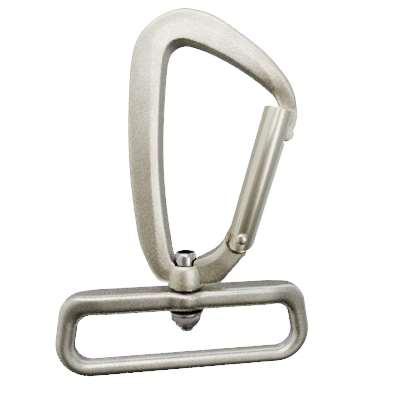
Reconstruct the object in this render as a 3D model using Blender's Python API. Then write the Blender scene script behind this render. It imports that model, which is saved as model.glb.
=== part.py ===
"""Swivel snap hook: forged hook body, sprung bar gate, swivel bolt and a rectangular webbing loop.

The origin is the inner apex of the bow, on the swivel's axis. +Z is up along the swivel, +X runs from the
spine to the gate, +Y is the hook's thickness. Lengths below are in millimetres and become metres in mm().
"""
import math

import bmesh
import bpy
from mathutils import Vector

for old in list(bpy.data.objects):
    bpy.data.objects.remove(old, do_unlink=True)

# ---- clearances ----
SEAT_GAP = 0.2          # between two faces that rest on each other
RUN_GAP = 0.08          # radial, a pin that turns in its hole
SLOT_GAP = 0.25         # each side of a plate in its slot

# ---- hook body ----
BODY_HALF = 3.6         # half the hook's thickness, at its flat faces
INNER_HALF = 2.9        # half the thickness of the face inside the eye
OUTER_ROUND = 1.3       # rounding of the outer edges
INNER_ROUND = 0.45
BOSS_BOTTOM = -55.3
BOSS_R = 4.45
BOSS_TOP_R = 3.75
BOSS_TOP = -50.2
POCKET_R = 3.3
POCKET_FLOOR = -51.6

# ---- gate and its hinge ----
PIVOT_X, PIVOT_Z = 13.25, -43.5
GATE_LEAN = math.radians(15.95)
GATE_TOP = 29.7         # from the pivot, along the gate
GATE_R_TOP = 3.4
GATE_R_END = 3.15
SHOULDER_INNER_R = 3.6  # the arm ends in a hollow shoulder that the ears turn in
SHOULDER_OUTER_R = 3.1
TANG_HALF = 1.2
TANG_R = 2.9
TANG_HORN_R = 3.5       # the tang's cam grows to this radius on the inner side
TANG_RISE = 47          # degrees over which it grows
TANG_OUTER_R = 2.15     # and shrinks to this one inside the gate's outer wall
EAR_SLOT_R = 3.65       # the slot's roof is round about the pivot, clear of the horn
EAR_STOP_R = 3.25       # and steps in above it, where the horn stops the gate fully open
EAR_HOLE_GAP = 0.05     # radial, the rivet is nearly tight in the gate's ears
SPRING_BORE_R = 1.7
SPRING_BORE_TOP = 19.0
RIVET_R = 1.0
RIVET_HEAD_R = 1.25
RIVET_HEAD_HEIGHT = 0.55
RIVET_HEAD_RIM = 0.12

# ---- nose and its keylock ----
NECK_HALF = 1.0
BULB_R = 1.55
BULB_HALF = 1.6
BULB_ACROSS, BULB_ALONG = 3.0, 24.8     # in the gate's frame, from the pivot
NOSE_SLOT_FLOOR = -1.25                 # across the gate, how deep the nose slot is milled
BULB_GAP = 0.35                         # round the bulb in its recess

# ---- swivel bolt, washers and nut ----
BOLT_R = 2.0
BOLT_HEAD_R = 2.65
BOLT_HEAD_TOP = -47.45
BOLT_CHAMFER = (0.4, 0.75)              # across, down
SOCKET_R = 1.85
SOCKET_DEPTH = 2.0
SOCKET_RIM = 0.2                        # the countersink round the key's socket
BOLT_END = -66.8
THREAD_PITCH = 0.7
THREAD_DEPTH = 0.35
THRUST_R = 3.6
THRUST_THICK = 0.45
NUT_WASHER_R = 4.15
NUT_WASHER_THICK = 0.7
NUT_FLATS = 7.0
NUT_HEX_HEIGHT = 2.2
NUT_HEIGHT = 3.0
NUT_COLLAR_R = 2.95
NUT_BORE_GAP = 0.05
INSERT_R = 2.5
INSERT_GAP = 0.1                        # above and below the insert

# ---- gate spring and plunger ----
PLUNGER_R = SPRING_BORE_R - 0.1
PLUNGER_LIFT = 0.42      # how far the cam lifts it when the gate opens; the spring keeps this clear
PLUNGER_HEAD = 3.6
PLUNGER_END = 11.0
STEM_R = 0.75
WIRE_R = 0.2
COIL_R = 1.25
COIL_TURNS = 9

# ---- webbing loop ----
LOOP_TURN = math.radians(15.1)          # how far the loop is swivelled at rest
LOOP_TOP = BOSS_BOTTOM - 2 * SEAT_GAP - THRUST_THICK
BAR_DROP = 0.1                          # the bar's top lies this far under its boss
BAR_HEIGHT = 5.15
BAR_HALF = 3.4
LOWER_BAR_HALF = 2.25
LAND_HALF = 0.65                        # half the flat land that the webbing lies on
LOOP_HALF_LENGTH = (28.9, 32.4)         # along the top, along the bottom
SLOT_HALF_LENGTH = (25.2, 27.4)
LOOP_BOTTOM = -76.5
SLOT_BOTTOM = -73.0
LOOP_CORNER_R = (5.0, 8.3)
SLOT_CORNER_R = 4.0
LOOP_BOSS_R = 4.6
LOOP_BOSS_SHOULDER = 1.5                # how far the boss's top edge is rounded down
LOOP_BOSS_BOTTOM = LOOP_TOP - BAR_HEIGHT - 0.15


def mm(value):
    return value * 0.001


def v3(x, y, z):
    return Vector((mm(x), mm(y), mm(z)))


# ------------------------------------------------------------------ helpers

def material(name, colour, roughness, metallic):
    mat = bpy.data.materials.new(name)
    mat.use_nodes = True
    shader = mat.node_tree.nodes["Principled BSDF"]
    shader.inputs["Base Color"].default_value = (*colour, 1.0)
    shader.inputs["Roughness"].default_value = roughness
    shader.inputs["Metallic"].default_value = metallic
    mat.diffuse_color = (*colour, 1.0)
    return mat


def finish_mesh(name, bm, mat=None, parent=None):
    """Turn a bmesh into a named object with its normals out and its round faces smooth."""
    bmesh.ops.remove_doubles(bm, verts=bm.verts, dist=mm(0.001))
    bmesh.ops.recalc_face_normals(bm, faces=bm.faces)
    mesh = bpy.data.meshes.new(name)
    bm.to_mesh(mesh)
    bm.free()
    mesh.shade_smooth()
    mesh.set_sharp_from_angle(angle=math.radians(35))
    obj = bpy.data.objects.new(name, mesh)
    bpy.context.collection.objects.link(obj)
    obj.parent = parent
    if mat:
        mesh.materials.append(mat)
    else:
        obj.hide_render = True
        obj.display_type = "WIRE"
    return obj


def loft(rings, closed=False):
    """Skin a list of equal rings of points; the ends are capped unless the loft is closed."""
    bm = bmesh.new()
    loops = [[bm.verts.new(p) for p in ring] for ring in rings]
    count = len(loops[0])
    pairs = list(zip(loops, loops[1:]))
    if closed:
        pairs.append((loops[-1], loops[0]))
    for first, second in pairs:
        for i in range(count):
            j = (i + 1) % count
            bm.faces.new((first[i], first[j], second[j], second[i]))
    if not closed:
        bm.faces.new(loops[0])
        bm.faces.new(list(reversed(loops[-1])))
    return bm


def lathe(profile, segments=40):
    """Turn a closed outline of (radius, height) points about Z."""
    bm = bmesh.new()
    rings = []
    for radius, height in profile:
        if radius < 1e-6:
            rings.append([bm.verts.new(v3(0, 0, height))])
            continue
        rings.append([bm.verts.new(v3(radius * math.cos(2 * math.pi * k / segments),
                                      radius * math.sin(2 * math.pi * k / segments), height))
                      for k in range(segments)])
    for first, second in zip(rings, rings[1:] + rings[:1]):
        for k in range(segments):
            n = (k + 1) % segments
            quad = [first[k % len(first)], first[n % len(first)], second[n % len(second)], second[k % len(second)]]
            corners = list(dict.fromkeys(quad))
            if len(corners) > 2:
                bm.faces.new(corners)
    return bm


def plate(outline, y_low, y_high):
    """Extrude a closed outline of (x, z) points from y_low to y_high."""
    return loft([[v3(x, y, z) for x, z in outline] for y in (y_low, y_high)])


def arc(centre, radius, start_deg, end_deg, steps):
    """Points on an arc in the XZ plane; 0 degrees is +X and 90 degrees is +Z."""
    points = []
    for i in range(steps + 1):
        angle = math.radians(start_deg + (end_deg - start_deg) * i / steps)
        points.append((centre[0] + radius * math.cos(angle), centre[1] + radius * math.sin(angle)))
    return points


def disc(centre, radius, y_low, y_high, segments=48):
    step = 360 / segments
    return plate(arc(centre, radius, 0, 360 - step, segments - 1), y_low, y_high)


def boolean(target, operation, tool):
    mod = target.modifiers.new(operation.lower(), "BOOLEAN")
    mod.operation = operation
    mod.object = tool
    mod.solver = "EXACT"


def smooth_curve(points, steps):
    """Catmull-Rom curve through tuples of numbers, with the given steps in each span."""
    ends = [points[0]] + list(points) + [points[-1]]
    curve = []
    for i in range(1, len(ends) - 2):
        a, b, c, d = ends[i - 1:i + 3]
        for s in range(steps):
            t = s / steps
            curve.append(tuple(0.5 * (2 * q + (r - p) * t + (2 * p - 5 * q + 4 * r - w) * t * t
                                      + (3 * q - p - 3 * r + w) * t ** 3)
                               for p, q, r, w in zip(a, b, c, d)))
    curve.append(tuple(points[-1]))
    return curve


def empty(name, location, rotation=(0, 0, 0)):
    obj = bpy.data.objects.new(name, None)
    bpy.context.collection.objects.link(obj)
    obj.empty_display_size = 0.004
    obj.location = location
    obj.rotation_euler = rotation
    return obj


def gate_to_world(across, along):
    """A point of the gate's frame, closed, in the hook's (x, z)."""
    return (PIVOT_X + across * math.cos(GATE_LEAN) + along * math.sin(GATE_LEAN),
            PIVOT_Z - across * math.sin(GATE_LEAN) + along * math.cos(GATE_LEAN))


# ------------------------------------------------------------------ materials

satin = material("satin_aluminium", (0.60, 0.585, 0.545), 0.42, 1.0)
brushed = material("brushed_aluminium", (0.66, 0.65, 0.615), 0.26, 1.0)
rivet_steel = material("rivet_steel", (0.70, 0.69, 0.62), 0.25, 1.0)
spring_steel = material("spring_steel", (0.45, 0.45, 0.44), 0.35, 1.0)
pin_steel = material("pin_steel", (0.55, 0.55, 0.54), 0.30, 1.0)
bolt_steel = material("bolt_steel", (0.42, 0.42, 0.42), 0.18, 1.0)
washer_steel = material("washer_steel", (0.50, 0.49, 0.47), 0.38, 1.0)
nut_washer_steel = material("nut_washer_steel", (0.48, 0.47, 0.45), 0.40, 1.0)
nut_steel = material("nut_steel", (0.40, 0.39, 0.37), 0.36, 1.0)
nylon = material("nylon", (0.80, 0.79, 0.74), 0.55, 0.0)
loop_aluminium = material("loop_aluminium", (0.58, 0.565, 0.53), 0.38, 1.0)

# ------------------------------------------------------------------ hook body


def body_ring(outer, inner, half, bevel, inner_half):
    """One section across the hook: a wide flat side, rounded outside and bevelled towards the eye."""
    ox, oz = outer
    ix, iz = inner
    width = math.hypot(ix - ox, iz - oz)
    ux, uz = (ix - ox) / width, (iz - oz) / width
    r = min(OUTER_ROUND, half * 0.6)
    q = min(INNER_ROUND, inner_half * 0.3)
    side = []
    for i in range(4):
        angle = math.radians(30 * i)
        side.append((r - r * math.cos(angle), half - r + r * math.sin(angle)))
    side.append((width - bevel, half))
    for i in range(3):
        angle = math.radians(90 - 35 * i)
        side.append((width - q + q * math.cos(angle), inner_half - q + q * math.sin(angle)))
    ring = [(u, y) for u, y in side] + [(u, -y) for u, y in reversed(side)]
    return [v3(ox + ux * u, y, oz + uz * u) for u, y in ring]


# outer x, z; inner x, z; half thickness; bevel width; half thickness inside
BODY_STATIONS = [
    (25.15, -15.4, 21.3, -14.6, 1.1, 0.3, 0.9),
    (24.75, -12.7, 20.4, -12.4, 1.85, 0.5, 1.6),
    (23.6, -10.0, 19.0, -10.8, 2.65, 0.9, 2.3),
    (21.6, -7.3, 17.0, -9.0, 3.35, 1.9, 2.75),
    (18.3, -3.6, 14.3, -6.9, BODY_HALF, 2.5, INNER_HALF),
    (13.6, 0.3, 10.5, -4.4, BODY_HALF, 2.9, INNER_HALF),
    (8.3, 4.1, 6.1, -2.0, BODY_HALF, 3.3, INNER_HALF),
    (4.3, 5.8, 2.9, -0.65, BODY_HALF, 3.5, INNER_HALF),
    (0.4, 6.45, 0.5, 0.0, BODY_HALF, 3.5, INNER_HALF),
    (-4.0, 5.4, -1.5, -0.4, BODY_HALF, 3.4, INNER_HALF),
    (-7.7, 3.0, -2.9, -1.5, BODY_HALF, 3.0, INNER_HALF),
    (-9.9, 0.1, -3.6, -3.1, BODY_HALF, 2.4, INNER_HALF),
    (-11.2, -4.3, -4.05, -5.5, BODY_HALF, 1.9, INNER_HALF),
    (-11.9, -10.5, -4.6, -10.6, BODY_HALF, 1.7, INNER_HALF),
    (-12.35, -18.0, -5.15, -18.0, BODY_HALF, 1.7, INNER_HALF),
    (-12.45, -25.0, -5.35, -25.0, BODY_HALF, 1.7, INNER_HALF),
    (-12.15, -32.0, -5.2, -32.0, BODY_HALF, 1.8, INNER_HALF),
    (-11.4, -39.5, -4.6, -39.2, BODY_HALF, 1.9, INNER_HALF),
    (-10.6, -44.8, -4.0, -43.8, BODY_HALF, 2.2, INNER_HALF),
    (-9.0, -49.4, -3.5, -47.3, 3.5, 2.6, 2.8),
    (-7.4, -52.8, -2.9, -49.2, 3.1, 2.4, 2.6),
    (-5.6, -54.6, -1.8, -50.0, 2.6, 2.0, 2.3),
    (0.0, -55.15, 0.0, -50.2, 2.3, 1.6, 2.1),
    (5.2, -54.95, 2.2, -49.2, 2.5, 1.6, 2.3),
    (8.8, -53.7, 4.2, -48.3, 3.1, 1.6, 2.7),
    (10.8, -51.3, 6.7, -46.9, BODY_HALF, 1.5, INNER_HALF),
    (12.8, -48.9, 8.6, -45.0, BODY_HALF, 1.3, INNER_HALF),
    (14.3, -46.7, 9.5, -43.2, BODY_HALF, 1.2, INNER_HALF),
    (15.3, -45.1, 9.9, -42.3, BODY_HALF, 1.2, INNER_HALF),
]
BODY_STEPS = 2

rings = [body_ring((s[0], s[1]), (s[2], s[3]), s[4], s[5], s[6])
         for s in smooth_curve(BODY_STATIONS, BODY_STEPS)]
body = finish_mesh("hook_body", loft(rings), satin)

pivot = (PIVOT_X, PIVOT_Z)


def around_pivot(radius_at, start_deg, end_deg, step_deg):
    """Points about the pivot at a radius that varies; 0 degrees is down, + is the outer side."""
    points = []
    for turn in range(start_deg, end_deg + 1, step_deg):
        angle = math.radians(turn)
        radius = radius_at(turn)
        points.append(gate_to_world(radius * math.sin(angle), -radius * math.cos(angle)))
    return points


def shoulder_radius(turn):
    """Wide on the inner side, where the ears' corners swing, and close to the ears on the outer side."""
    ease = max(0.0, min(1.0, (turn + 18) / 33))
    return SHOULDER_INNER_R + (SHOULDER_OUTER_R - SHOULDER_INNER_R) * ease


shoulder_cut = finish_mesh("cut_shoulder", plate(around_pivot(shoulder_radius, -160, 190, 10), -6, 6))
boolean(body, "DIFFERENCE", shoulder_cut)

boss_profile = [(0, BOSS_BOTTOM), (BOSS_R - 0.3, BOSS_BOTTOM), (BOSS_R, BOSS_BOTTOM + 0.3),
                (BOSS_R - 0.08, -53.0), (BOSS_R - 0.3, -51.4), (BOSS_TOP_R, BOSS_TOP - 0.15),
                (BOSS_TOP_R - 0.15, BOSS_TOP), (0, BOSS_TOP)]
boss = finish_mesh("add_boss", lathe(boss_profile))
boolean(body, "UNION", boss)
pocket = finish_mesh("cut_pocket", lathe([(0, POCKET_FLOOR), (POCKET_R, POCKET_FLOOR),
                                          (POCKET_R, -46.5), (0, -46.5)]))
boolean(body, "DIFFERENCE", pocket)
bore = finish_mesh("cut_bolt_bore", lathe([(0, -60), (BOLT_R + RUN_GAP, -60), (BOLT_R + RUN_GAP, -45), (0, -45)]))
boolean(body, "DIFFERENCE", bore)


def cam_radius(turn):
    """The tang's radius: 180 degrees is up the gate; it grows towards the inner side and shrinks outwards."""
    inner = turn - 180
    if inner > 0:
        return TANG_R + (TANG_HORN_R - TANG_R) * min(1.0, inner / TANG_RISE)
    return TANG_R + (TANG_OUTER_R - TANG_R) * min(1.0, -inner / 60)


# the tang: a cam-shaped plate about the pivot that runs down into the arm
tang_outline = around_pivot(cam_radius, 84, 254, 5)
tang_outline += [(9.45, -43.4), (8.9, -44.9), (12.2, -49.0), gate_to_world(TANG_OUTER_R - 0.1, -3.9),
                 gate_to_world(TANG_OUTER_R, -2.0)]
tang = finish_mesh("add_tang", plate(tang_outline, -TANG_HALF, TANG_HALF))
boolean(body, "UNION", tang)

# the nose: a neck thin enough for the gate's slot, with a cross bulb at its end
bulb = gate_to_world(BULB_ACROSS, BULB_ALONG)
neck_outline = [(24.0, -13.4), (24.95, -14.2), (25.2, -15.6), (25.15, -17.2), (24.85, -18.7),
                *arc(bulb, BULB_R, 25, -150, 10), (21.6, -18.6), (21.4, -16.4), (21.35, -14.2)]
neck = finish_mesh("add_neck", plate(neck_outline, -NECK_HALF, NECK_HALF))
boolean(body, "UNION", neck)
cross_bulb = finish_mesh("add_bulb", disc(bulb, BULB_R, -BULB_HALF, BULB_HALF, 32))
boolean(body, "UNION", cross_bulb)
rivet_hole = finish_mesh("cut_rivet_hole", disc(pivot, RIVET_R + RUN_GAP, -6, 6, 32))
boolean(body, "DIFFERENCE", rivet_hole)

# ------------------------------------------------------------------ gate, rivet, spring and plunger

hinge = empty("gate_hinge_axis", v3(PIVOT_X, 0, PIVOT_Z), (0, GATE_LEAN, 0))

gate_profile = [(0, -5.0), (GATE_R_END, -5.0), (GATE_R_TOP, GATE_TOP - 0.35), (GATE_R_TOP - 0.35, GATE_TOP),
                (0, GATE_TOP)]
gate = finish_mesh("gate", lathe(gate_profile, 48), brushed, hinge)
# the ears' rounded ends, across and along the gate
ear_end = [(-3.4, -1.5), (-2.85, -1.98), (-2.4, -2.3), (-1.7, -2.6), (-0.6, -2.8), (0.6, -2.78), (1.6, -2.48),
           (2.4, -1.9), (3.0, -1.2), (3.6, -0.4)]
ear_trim = finish_mesh("cut_ear_ends", plate([(-5, -1.5), *ear_end, (5, -0.4), (5, -7), (-5, -7)], -5, 5),
                       parent=hinge)
boolean(gate, "DIFFERENCE", ear_trim)
slot_wall = TANG_OUTER_R + SLOT_GAP     # the slot stops short of the gate's outer wall
slot_roof = [(-EAR_SLOT_R * math.sin(math.radians(a)), EAR_SLOT_R * math.cos(math.radians(a)))
             for a in range(100, -15, -6)]
slot_roof += [(-EAR_STOP_R * math.sin(math.radians(a)), EAR_STOP_R * math.cos(math.radians(a)))
              for a in range(-17, -42, -6)]
ear_slot = finish_mesh("cut_ear_slot", plate([(-5, -7), (-5, slot_roof[0][1]), *slot_roof,
                                              (slot_wall, slot_roof[-1][1]), (slot_wall, -7)],
                                             -TANG_HALF - SLOT_GAP, TANG_HALF + SLOT_GAP), parent=hinge)
boolean(gate, "DIFFERENCE", ear_slot)
spring_bore = finish_mesh("cut_spring_bore", lathe([(0, 1.0), (SPRING_BORE_R, 1.0),
                                                    (SPRING_BORE_R, SPRING_BORE_TOP - 0.9), (0, SPRING_BORE_TOP)], 32),
                          parent=hinge)
boolean(gate, "DIFFERENCE", spring_bore)
recess_low = BULB_ALONG - BULB_R - BULB_GAP
recess_high = BULB_ALONG + BULB_R + BULB_GAP
recess_floor = BULB_ACROSS - BULB_R - BULB_GAP
neck_slot = finish_mesh("cut_neck_slot", plate([(NOSE_SLOT_FLOOR, recess_low + 1.0), (5, recess_low + 1.0),
                                                (5, 32), (NOSE_SLOT_FLOOR, 32)],
                                               -NECK_HALF - SLOT_GAP, NECK_HALF + SLOT_GAP), parent=hinge)
boolean(gate, "DIFFERENCE", neck_slot)
bulb_recess = finish_mesh("cut_bulb_recess", plate([(recess_floor, recess_low), (5, recess_low),
                                                    (5, recess_high), (recess_floor, recess_high)],
                                                   -BULB_HALF - SLOT_GAP, BULB_HALF + SLOT_GAP), parent=hinge)
boolean(gate, "DIFFERENCE", bulb_recess)
ear_holes = finish_mesh("cut_ear_holes", disc((0, 0), RIVET_R + EAR_HOLE_GAP, -6, 6, 32), parent=hinge)
boolean(gate, "DIFFERENCE", ear_holes)

# the rivet: a shank with a low dome at each end
head_y = GATE_R_END + 0.1
rim_y = head_y + RIVET_HEAD_RIM
dome = [(RIVET_HEAD_R * math.cos(math.radians(a)), rim_y + RIVET_HEAD_HEIGHT * math.sin(math.radians(a)))
        for a in range(0, 90, 22)]
half_rivet = [(RIVET_R, head_y), (RIVET_HEAD_R, head_y), *dome, (0, rim_y + RIVET_HEAD_HEIGHT)]
rivet_profile = [(r, -h) for r, h in reversed(half_rivet)] + half_rivet
rivet = finish_mesh("hinge_rivet", lathe(rivet_profile, 28), rivet_steel, hinge)
rivet.rotation_euler = (math.radians(-90), 0, 0)

# the plunger: a round-nosed pin that the spring holds on the tang's cam
PLUNGER_TIP = TANG_R + SEAT_GAP
tip = [(PLUNGER_R * math.sin(math.radians(a)), PLUNGER_TIP + 1.1 * (1 - math.cos(math.radians(a))))
       for a in range(0, 91, 15)]
plunger_profile = [*tip, (PLUNGER_R, PLUNGER_TIP + PLUNGER_HEAD), (STEM_R, PLUNGER_TIP + PLUNGER_HEAD),
                   (STEM_R, PLUNGER_END), (0, PLUNGER_END)]
plunger = finish_mesh("spring_plunger", lathe(plunger_profile, 24), pin_steel, hinge)

# the spring: round wire coiled between the plunger's collar and the end of its bore
COIL_STEPS = 12
WIRE_SIDES = 5
coil_low = PLUNGER_TIP + PLUNGER_HEAD + PLUNGER_LIFT + SEAT_GAP + WIRE_R
coil_high = SPRING_BORE_TOP - 0.9 - SEAT_GAP - WIRE_R
coil_rings = []
for i in range(COIL_TURNS * COIL_STEPS + 1):
    part = i / (COIL_TURNS * COIL_STEPS)
    turn = 2 * math.pi * COIL_TURNS * part
    height = coil_low + (coil_high - coil_low) * part
    out = Vector((math.cos(turn), math.sin(turn), 0))
    centre = out * COIL_R + Vector((0, 0, height))
    ring = []
    for k in range(WIRE_SIDES):
        angle = 2 * math.pi * k / WIRE_SIDES
        ring.append((centre + out * WIRE_R * math.cos(angle) + Vector((0, 0, WIRE_R * math.sin(angle)))) * 0.001)
    coil_rings.append(ring)
spring = finish_mesh("gate_spring", loft(coil_rings), spring_steel, hinge)

# ------------------------------------------------------------------ swivel bolt, washers and nut

head_seat = POCKET_FLOOR + SEAT_GAP
thread_top = LOOP_BOSS_BOTTOM - 0.1
crest = BOLT_R - 0.04
root = crest - THREAD_DEPTH
thread = []
turns = int((thread_top - BOLT_END - 0.6) / THREAD_PITCH)
for i in range(turns):
    low = BOLT_END + 0.5 + i * THREAD_PITCH
    thread += [(root, low), (crest, low + 0.3), (crest, low + 0.42)]
rim_floor = BOLT_HEAD_TOP - SOCKET_RIM
bolt_profile = [(0, BOLT_END), (root - 0.26, BOLT_END), (root, BOLT_END + 0.4), *thread, (root, thread_top - 0.3),
                (BOLT_R, thread_top), (BOLT_R, head_seat), (BOLT_HEAD_R, head_seat),
                (BOLT_HEAD_R, BOLT_HEAD_TOP - BOLT_CHAMFER[1]), (BOLT_HEAD_R - BOLT_CHAMFER[0], BOLT_HEAD_TOP),
                (SOCKET_R + SOCKET_RIM, BOLT_HEAD_TOP), (SOCKET_R, rim_floor), (SOCKET_R, rim_floor - 0.05),
                (0, rim_floor - 0.05)]
bolt = finish_mesh("swivel_bolt", lathe(bolt_profile, 28), bolt_steel)
hex_r = SOCKET_R - 0.05
hex_key = finish_mesh("cut_hex_socket", lathe([(0, BOLT_HEAD_TOP - SOCKET_DEPTH), (hex_r, BOLT_HEAD_TOP - SOCKET_DEPTH),
                                               (hex_r, BOLT_HEAD_TOP + 1), (0, BOLT_HEAD_TOP + 1)], 6))
boolean(bolt, "DIFFERENCE", hex_key)


def washer(name, radius, top, thick, mat):
    edge = 0.1
    bore_r = BOLT_R + RUN_GAP
    outline = [(bore_r, top), (bore_r, top - thick), (radius - edge, top - thick), (radius, top - thick + edge),
               (radius, top - edge), (radius - edge, top)]
    return finish_mesh(name, lathe(outline, 40), mat)


washer("thrust_washer", THRUST_R, BOSS_BOTTOM - SEAT_GAP, THRUST_THICK, washer_steel)
nut_washer_top = LOOP_BOSS_BOTTOM - SEAT_GAP
washer("nut_washer", NUT_WASHER_R, nut_washer_top, NUT_WASHER_THICK, nut_washer_steel)

nut_top = nut_washer_top - NUT_WASHER_THICK - 0.1
nut_corner = NUT_FLATS / math.sqrt(3)
nut_base = nut_top - NUT_HEIGHT
nut_bore = BOLT_R + NUT_BORE_GAP
insert_top = nut_top - NUT_HEX_HEIGHT
nut_profile = [(nut_bore, nut_top), (nut_bore, insert_top), (INSERT_R, insert_top),
               (INSERT_R, nut_base), (NUT_COLLAR_R - 0.3, nut_base),
               (NUT_COLLAR_R, nut_base + 0.5), (NUT_COLLAR_R, insert_top + 0.2),
               (nut_corner + 0.5, insert_top + 0.9), (nut_corner + 0.5, nut_top)]
nut = finish_mesh("lock_nut", lathe(nut_profile, 48), nut_steel)
hex_form = finish_mesh("keep_hex", lathe([(0, nut_base - 1), (nut_corner, nut_base - 1),
                                          (nut_corner, nut_top + 1), (0, nut_top + 1)], 6))
hex_form.rotation_euler = (0, 0, math.radians(30))
boolean(nut, "INTERSECT", hex_form)
insert_inner, insert_outer = BOLT_R + 0.03, INSERT_R - 0.06
insert_outline = [(insert_inner, insert_top - INSERT_GAP), (insert_inner, nut_base + INSERT_GAP),
                  (insert_outer, nut_base + INSERT_GAP), (insert_outer, insert_top - INSERT_GAP)]
finish_mesh("nylon_insert", lathe(insert_outline, 32), nylon)

# ------------------------------------------------------------------ webbing loop


def rounded_outline(corners, side_steps, corner_steps):
    """A closed outline through corners (x, z, radius), each side cut into the same number of steps."""
    count = len(corners)
    arcs = []
    for i in range(count):
        here = Vector(corners[i][:2])
        back = (Vector(corners[i - 1][:2]) - here).normalized()
        ahead = (Vector(corners[(i + 1) % count][:2]) - here).normalized()
        half = math.acos(max(-1, min(1, back.dot(ahead)))) / 2
        radius = corners[i][2]
        start = here + back * (radius / math.tan(half))
        end = here + ahead * (radius / math.tan(half))
        centre = here + (back + ahead).normalized() * (radius / math.sin(half))
        first = math.atan2(start.y - centre.y, start.x - centre.x)
        sweep = math.atan2(end.y - centre.y, end.x - centre.x) - first
        sweep = (sweep + math.pi) % (2 * math.pi) - math.pi
        arcs.append([(centre.x + radius * math.cos(first + sweep * k / corner_steps),
                      centre.y + radius * math.sin(first + sweep * k / corner_steps))
                     for k in range(corner_steps + 1)])
    points = []
    for i in range(count):
        points += arcs[i]
        a, b = arcs[i][-1], arcs[(i + 1) % count][0]
        for s in range(1, side_steps):
            t = s / side_steps
            points.append((a[0] + (b[0] - a[0]) * t, a[1] + (b[1] - a[1]) * t))
    return points


def mix(first, second, share):
    return first + (second - first) * share


def ease(value, none, full):
    """0 at none, 1 at full and smooth between."""
    share = max(0.0, min(1.0, (value - none) / (full - none)))
    return share * share * (3 - 2 * share)


def loop_ring(outer, inner, heavy):
    """One section across the loop's bar: nearly oval where it is light, flat-topped where it is heavy."""
    ox, oz = outer
    ix, iz = inner
    width = math.hypot(ix - ox, iz - oz)
    ux, uz = (ix - ox) / width, (iz - oz) / width
    half = mix(LOWER_BAR_HALF, BAR_HALF, heavy)
    outer_across, outer_deep = mix(0.48 * width, 1.3, heavy), mix(half - LAND_HALF, 1.2, heavy)
    inner_across, inner_deep = mix(0.5 * width, 2.7, heavy), mix(half - LAND_HALF, 2.4, heavy)
    side = []
    for i in range(5):
        angle = math.radians(22.5 * i)
        side.append((outer_across * (1 - math.cos(angle)), half - outer_deep * (1 - math.sin(angle))))
    for i in range(6):
        angle = math.radians(90 - 18 * i)
        side.append((width - inner_across * (1 - math.cos(angle)), half - inner_deep * (1 - math.sin(angle))))
    ring = side + [(u, -y) for u, y in reversed(side)]
    return [v3(ox + ux * u, y, oz + uz * u) for u, y in ring]


SIDE_STEPS = 6
CORNER_STEPS = 7
bar_top = LOOP_TOP - BAR_DROP


def loop_corners(half_lengths, top, bottom, corner_radii):
    """The four corners of the loop's outer or inner outline, from the upper left round to the lower left."""
    return [(side * length, height, radius)
            for side, length, height, radius in ((-1, half_lengths[0], top, corner_radii[0]),
                                                 (1, half_lengths[0], top, corner_radii[0]),
                                                 (1, half_lengths[1], bottom, corner_radii[1]),
                                                 (-1, half_lengths[1], bottom, corner_radii[1]))]


outer_line = rounded_outline(loop_corners(LOOP_HALF_LENGTH, bar_top, LOOP_BOTTOM, LOOP_CORNER_R),
                             SIDE_STEPS, CORNER_STEPS)
inner_line = rounded_outline(loop_corners(SLOT_HALF_LENGTH, bar_top - BAR_HEIGHT, SLOT_BOTTOM,
                                          (SLOT_CORNER_R, SLOT_CORNER_R)), SIDE_STEPS, CORNER_STEPS)
loop_rings = []
for outer, inner in zip(outer_line, inner_line):
    # the section is heavy along the top and grows lighter before the corners
    height, reach = (outer[1] + inner[1]) / 2, abs(outer[0] + inner[0]) / 2
    loop_rings.append(loop_ring(outer, inner, ease(height, -68.0, -59.5) * ease(reach, 30.0, 19.0)))

swivel = empty("loop_swivel_axis", v3(0, 0, 0), (0, 0, LOOP_TURN))
loop = finish_mesh("webbing_loop", loft(loop_rings, closed=True), loop_aluminium, swivel)
shoulder_arc = [(LOOP_BOSS_R - 0.6 * LOOP_BOSS_SHOULDER * (1 - math.sin(math.radians(a))),
                 LOOP_TOP - LOOP_BOSS_SHOULDER * (1 - math.cos(math.radians(a)))) for a in range(0, 91, 18)]
loop_boss_profile = [(0, LOOP_TOP), *shoulder_arc, (LOOP_BOSS_R - 0.1, LOOP_BOSS_BOTTOM + 0.4),
                     (LOOP_BOSS_R - 0.5, LOOP_BOSS_BOTTOM), (0, LOOP_BOSS_BOTTOM)]
loop_boss = finish_mesh("add_loop_boss", lathe(loop_boss_profile), parent=swivel)
boolean(loop, "UNION", loop_boss)
loop_bore = finish_mesh("cut_loop_bore", lathe([(0, -66), (BOLT_R + RUN_GAP, -66), (BOLT_R + RUN_GAP, -50), (0, -50)]),
                        parent=swivel)
boolean(loop, "DIFFERENCE", loop_bore)
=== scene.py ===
import math

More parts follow.
